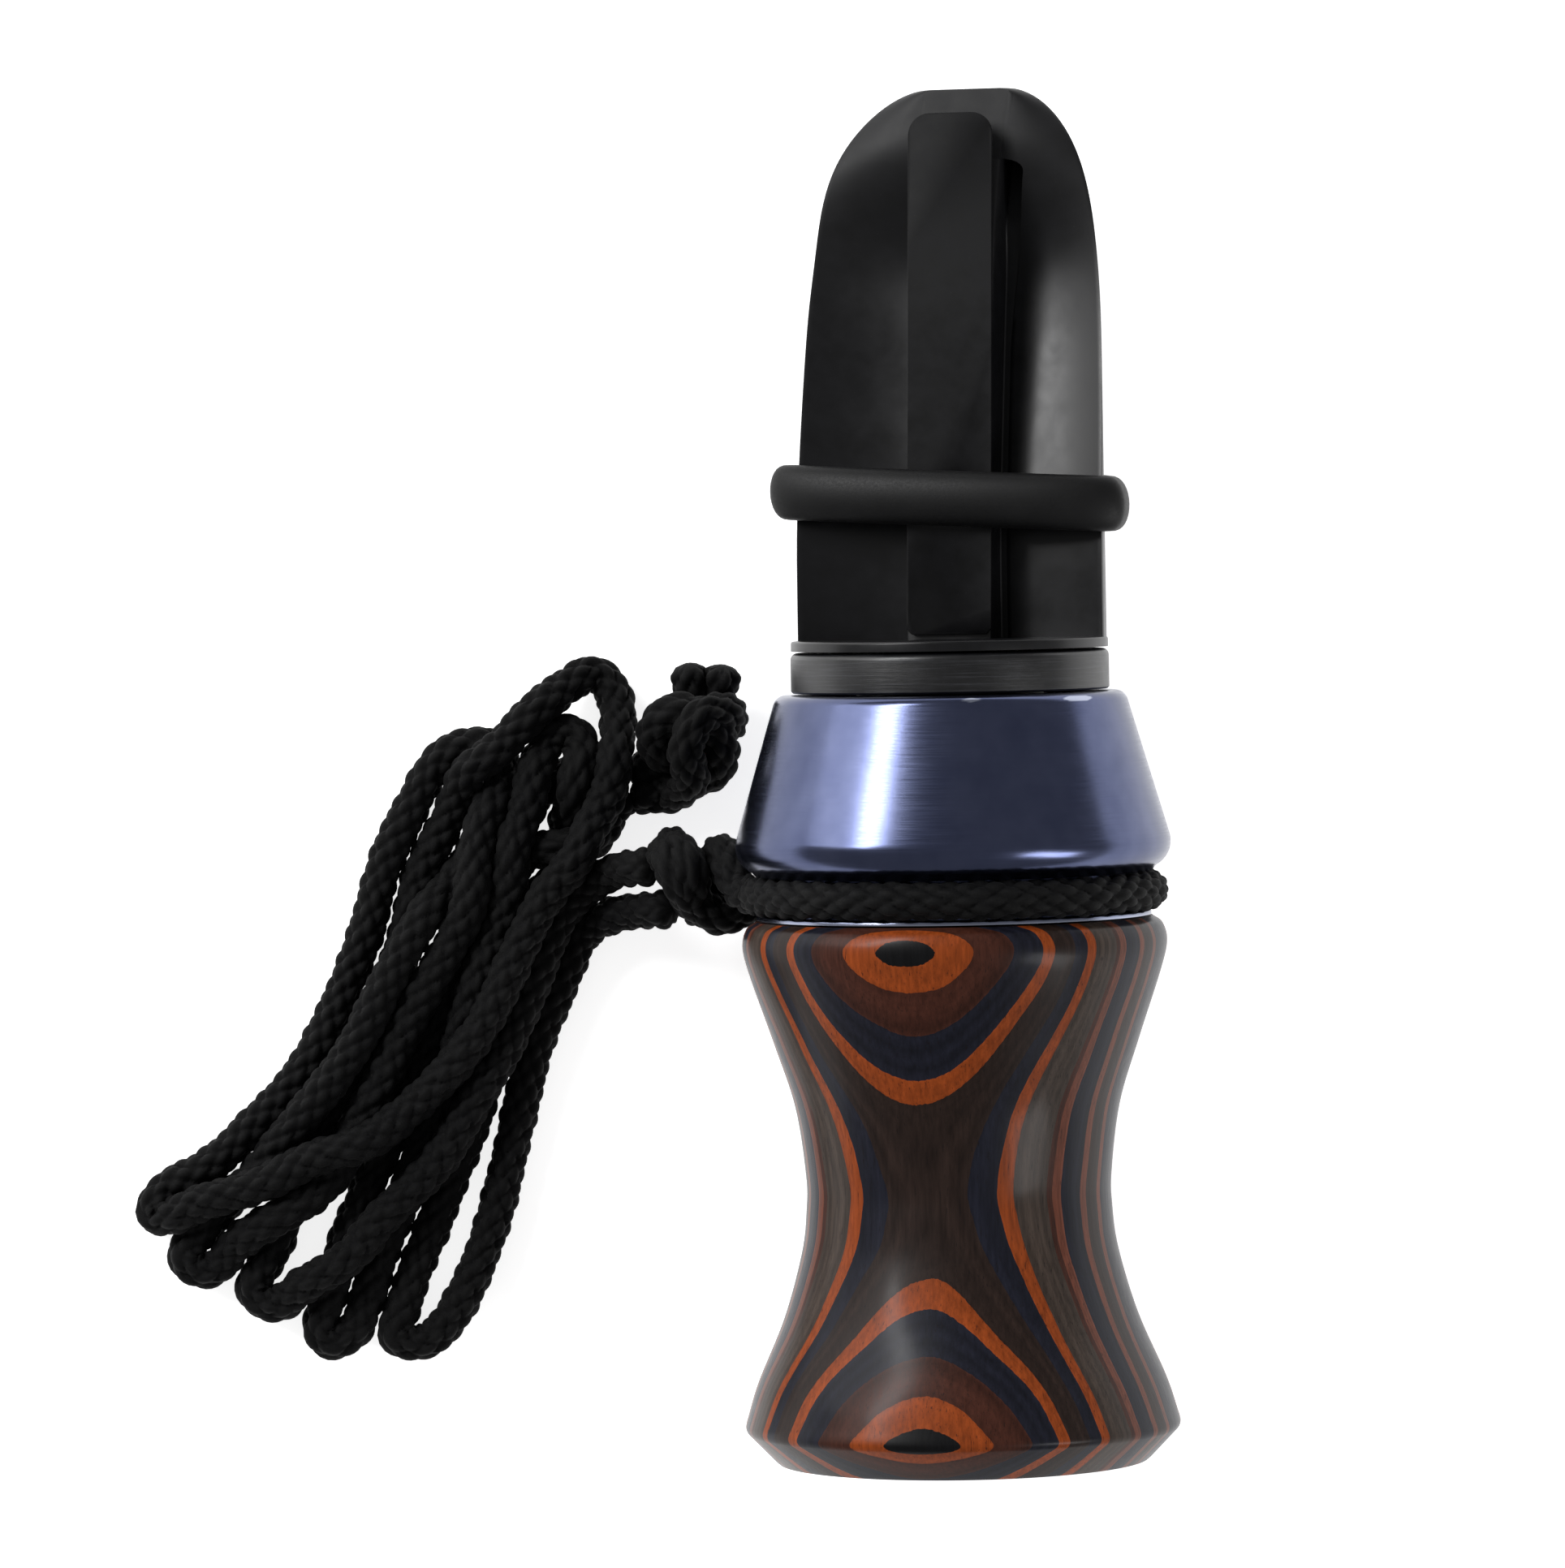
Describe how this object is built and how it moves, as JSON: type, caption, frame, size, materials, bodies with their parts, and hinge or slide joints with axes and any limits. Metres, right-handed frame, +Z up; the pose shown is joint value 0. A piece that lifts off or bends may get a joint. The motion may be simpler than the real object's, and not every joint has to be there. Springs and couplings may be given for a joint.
{
  "type": "open-reed game call",
  "caption": "Open-reed game call: hourglass laminated-wood barrel, metal ferrule, bullet-shaped mouthpiece with reed and rubber band, and a folded braided lanyard.",
  "frame": {"origin": "on the surface that the call lies on, under the middle of the call without its lanyard", "axes": "+Y along the call towards the mouthpiece's tip, +Z up, +X away from the folded lanyard"},
  "size_m": [0.0851, 0.1112, 0.0353],
  "materials": {
    "laminated_wood": "dyed laminate, satin lacquer",
    "anodised_aluminium": "blue-grey anodised, fine turned",
    "black_plastic": "gloss moulded",
    "turned_plastic": "turned, satin",
    "reed_film": "satin polyester film",
    "black_rubber": "matte",
    "braided_cord": "braided polyester cord, matte"
  },
  "bodies": {
    "barrel_body": {"barrel": "laminated_wood", "ferrule": "anodised_aluminium", "lanyard_noose": "braided_cord", "noose_knot": "braided_cord", "noose_lead_upper": "braided_cord", "noose_lead_lower": "braided_cord", "lanyard_hank": "braided_cord", "end_lead_upper": "braided_cord", "end_lead_lower": "braided_cord", "end_knot": "braided_cord"},
    "stem_seals": {"stem_o_ring_rear": "black_rubber", "stem_o_ring_front": "black_rubber"},
    "mouthpiece": {"insert_collar": "turned_plastic", "toneboard": "black_plastic"},
    "reed_body": {"reed": "reed_film"},
    "band_body": {"tuning_band": "black_rubber"}
  },
  "joints": [
    {"name": "insert_pull", "type": "slide", "parent": "barrel_body", "child": "stem_seals", "axis": [0, 1, 0], "range_m": [0, 0.024]},
    {"name": "insert_twist", "type": "hinge", "parent": "stem_seals", "child": "mouthpiece", "pos_m": [0, 0, 0.01765], "axis": [0, 1, 0], "continuous": true},
    {"name": "reed_flex", "type": "hinge", "parent": "mouthpiece", "child": "reed_body", "pos_m": [-0.00023, 0.02435, 0.01852], "axis": [-0.9659, 0, -0.2588], "range_deg": [0, 1.5], "stiffness_Nm_per_rad": 0.02},
    {"name": "band_slide", "type": "slide", "parent": "mouthpiece", "child": "band_body", "axis": [0.0103, 0.9992, -0.0386], "range_m": [-0.004, 0.006]}
  ]
}
